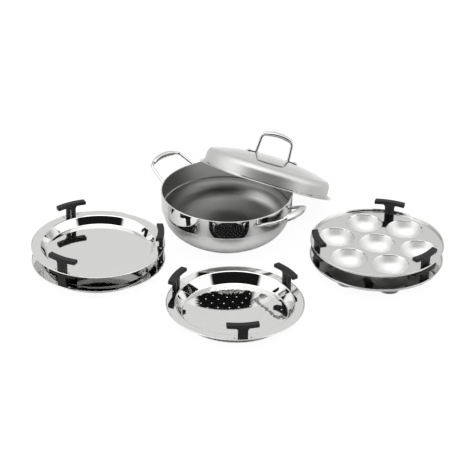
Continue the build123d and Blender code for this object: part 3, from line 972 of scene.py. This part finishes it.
def build_steam_plate():
    """The perforated plate: a plain plate that is then drilled."""
    name = "steam_plate"
    place = plate_place(name, front_plate_turn)
    section = well_profile(steam_plate_height, steam_well_radius, steam_floor_radius)
    blank = finish_mesh("steam_blank", *lathe(section, lathe_steps))
    sheet = baked(name + "_sheet", blank.data, drilled_tree(), {}, place)
    bpy.data.objects.remove(blank)
    smooth(sheet.data)
    dressed(sheet, name, plate_steel, name)
    build_fittings(name, place, steam_plate_height)


def build_plates():
    """All five plates."""
    flat_form = lathe(well_profile(flat_plate_height, flat_well_radius, flat_floor_radius), lathe_steps)
    hollowed_form = idli_form()
    for level in ("lower", "upper"):
        name = f"flat_plate_{level}"
        place = plate_place(name, left_stack_turn)
        dressed(finish_mesh(name + "_sheet", *flat_form, place), name, plate_steel, name)
        build_fittings(name, place, flat_plate_height)
        name = f"idli_plate_{level}"
        place = plate_place(name, right_stack_turn)
        sheet = idli_sheet(name + "_sheet", hollowed_form, place)
        dressed(sheet, name, hollow_steel, name)
        build_fittings(name, place, idli_deck_height)
    build_steam_plate()


def build_camera():
    """The photograph's camera."""
    data = bpy.data.cameras.new("camera")
    data.sensor_width = 36.0
    data.lens = data.sensor_width * camera_focal_pixels / picture_pixels
    data.clip_end = 50.0
    camera = new_object("camera", data)
    ahead = Vector(
        (
            math.sin(camera_yaw) * math.cos(camera_pitch),
            math.cos(camera_yaw) * math.cos(camera_pitch),
            -math.sin(camera_pitch),
        )
    )
    right = Vector((math.cos(camera_yaw), -math.sin(camera_yaw), 0))
    up = right.cross(ahead)
    rolled_right = math.cos(camera_roll) * right + math.sin(camera_roll) * up
    rolled_up = -math.sin(camera_roll) * right + math.cos(camera_roll) * up
    matrix = Matrix((rolled_right, rolled_up, -ahead)).transposed().to_4x4()
    matrix.translation = Vector(camera_place)
    camera.matrix_world = matrix
    bpy.context.scene.camera = camera


def build_floor():
    """A paper floor that is burnt out to white where it is seen directly, with a trace of shadow.

    The steel mirrors it as the shaded grey paper that it is.
    """
    shadow_reach = 4.0
    half = 6.0
    material, tree, shader = new_material("paper floor")
    shader.inputs["Base Color"].default_value = colour("#dcdcdc")
    shader.inputs["Roughness"].default_value = 0.9
    seen = add_node(tree, "ShaderNodeLightPath").outputs["Is Camera Ray"]
    near = add_node(tree, "ShaderNodeAmbientOcclusion", {"Distance": shadow_reach * MM}).outputs["AO"]
    open_share = add_node(
        tree, "ShaderNodeMapRange", {"Value": near, "From Min": 0.6, "From Max": 0.98, "To Max": 0.92}
    ).outputs[0]
    burnt = add_node(tree, "ShaderNodeMath", {0: seen, 1: open_share}, operation="MULTIPLY").outputs[0]
    white = add_node(tree, "ShaderNodeEmission", {"Color": colour("#ffffff"), "Strength": 1.04}).outputs[0]
    mixed = add_node(tree, "ShaderNodeMixShader", {0: burnt, 1: shader.outputs[0], 2: white}).outputs[0]
    tree.links.new(mixed, tree.nodes["Material Output"].inputs["Surface"])
    mesh = bpy.data.meshes.new("floor")
    corners = [(-half, -half, 0), (half, -half, 0), (half, half, 0), (-half, half, 0)]
    mesh.from_pydata(corners, [], [(0, 1, 2, 3)])
    mesh.materials.append(material)
    new_object("floor", mesh)


def build_tent():
    """A soft white tent, brighter in front, with a dark opening where the camera stands."""
    opening_edge = (math.radians(46), math.radians(54))  # turn from the middle of the front
    opening_top = (0.72, 0.80)  # share of straight up
    front_to_back = (-0.2, 0.5)  # share of straight back, between which the glow falls off
    front_glow = 1.9
    back_glow = 0.95
    opening_glow = 0.012
    world = bpy.data.worlds.new("tent")
    bpy.context.scene.world = world
    world.use_nodes = True
    tree = world.node_tree
    tree.nodes.clear()
    way = add_node(tree, "ShaderNodeTexCoord").outputs["Generated"]
    axes = add_node(tree, "ShaderNodeSeparateXYZ", {0: way})
    front = add_node(tree, "ShaderNodeMath", {0: axes.outputs[1], 1: -1.0}, operation="MULTIPLY").outputs[0]
    azimuth = add_node(tree, "ShaderNodeMath", {0: axes.outputs[0], 1: front}, operation="ARCTAN2").outputs[0]
    wide = add_node(tree, "ShaderNodeMath", {0: azimuth}, operation="ABSOLUTE").outputs[0]
    side, top, glow = (
        add_node(
            tree,
            "ShaderNodeMapRange",
            {"Value": value, "From Min": first, "From Max": last, "To Min": start, "To Max": end},
        ).outputs[0]
        for value, (first, last), start, end in (
            (wide, opening_edge, 1.0, 0.0),
            (axes.outputs[2], opening_top, 1.0, 0.0),
            (axes.outputs[1], front_to_back, front_glow, back_glow),
        )
    )
    dark = add_node(tree, "ShaderNodeMath", {0: side, 1: top}, operation="MULTIPLY").outputs[0]
    level = add_node(tree, "ShaderNodeMix", {"Factor": dark, "A": glow, "B": opening_glow}).outputs[0]
    seen = add_node(tree, "ShaderNodeLightPath").outputs["Is Camera Ray"]
    shown = add_node(tree, "ShaderNodeMix", {"Factor": seen, "A": level, "B": 1.0}).outputs[0]
    cloth = add_node(tree, "ShaderNodeBackground", {"Color": colour("#ffffff"), "Strength": shown})
    add_node(tree, "ShaderNodeOutputWorld", {"Surface": cloth.outputs[0]})


def build_lamp():
    """A wide soft lamp over the table, aimed at the pot's foot."""
    lamp = bpy.data.lights.new("overhead", "AREA")
    lamp.shape = "DISK"
    lamp.size = 3.0
    lamp.energy = 14.0
    light = new_object("overhead", lamp)
    light.location = (-0.5, -0.1, 2.4)
    light.rotation_euler = (-light.location).to_track_quat("-Z", "Y").to_euler()


# Buffed to a mirror on the band; satin below it, painted lighter than the band as painted light on the bowl,
# which faces down into the shade under the pot
pot_steel = steel(
    "buffed pot steel", "#cfcfce", 0.04, wander=0.04, grain=0.2, polish=band_polish_and_bowl_light, satin=("#f0f0ef", 0.42)
)
# Brushed in rings inside, so that the light stands in fans between grey flanks; the colour is painted darker
# than the outside's satin, as painted shade inside the pot
pot_inside_shaded_steel = steel("ring brushed pot steel with painted shade", "#bcbcbb", 0.34, wander=0.04, grain=0.25, brushed=0.7)
# Buffed dome that mirrors its own handle, over a softly brushed skirt
lid_steel = steel(
    "buffed lid steel",
    "#bebebd",
    0.06,
    wander=0.05,
    place=lid_place(),
    polish=lid_polish,
    satin=("#c0c0bf", 0.44),
)
# Bright-rolled sheet, sharp as a mirror on its well walls
plate_steel = steel("bright rolled plate steel", "#d6d6d5", 0.04, wander=0.05)
# The same sheet with hollows that the press has left satin, and painted lighter there as painted light
hollow_steel = steel(
    "pressed plate steel", "#cbcbca", 0.06, wander=0.05, polish=deck_polish_and_hollow_light, satin=("#dadad9", 0.52)
)
# Drawn and buffed rod and grip, grey at the edges and dark below
rod_steel = steel("buffed rod steel", "#c4c4c3", 0.12, wander=0.03)
# Plain bright rivets and strip
rivet_steel = steel("bright rivet steel", "#bdbdbc", 0.16, wander=0.03)
# Compression-moulded heat-proof phenolic: black, semi-matt
tee_phenolic = phenolic("black moulded phenolic")

bpy.context.scene.view_settings.view_transform = "Standard"
build_camera()
build_floor()
build_tent()
build_lamp()
rivets_tree = rivet_tree()
build_pot()
build_lid()
build_plates()


def corners(bounds):
    """A box as plain lists."""
    return [[float(value) for value in corner] for corner in bounds]
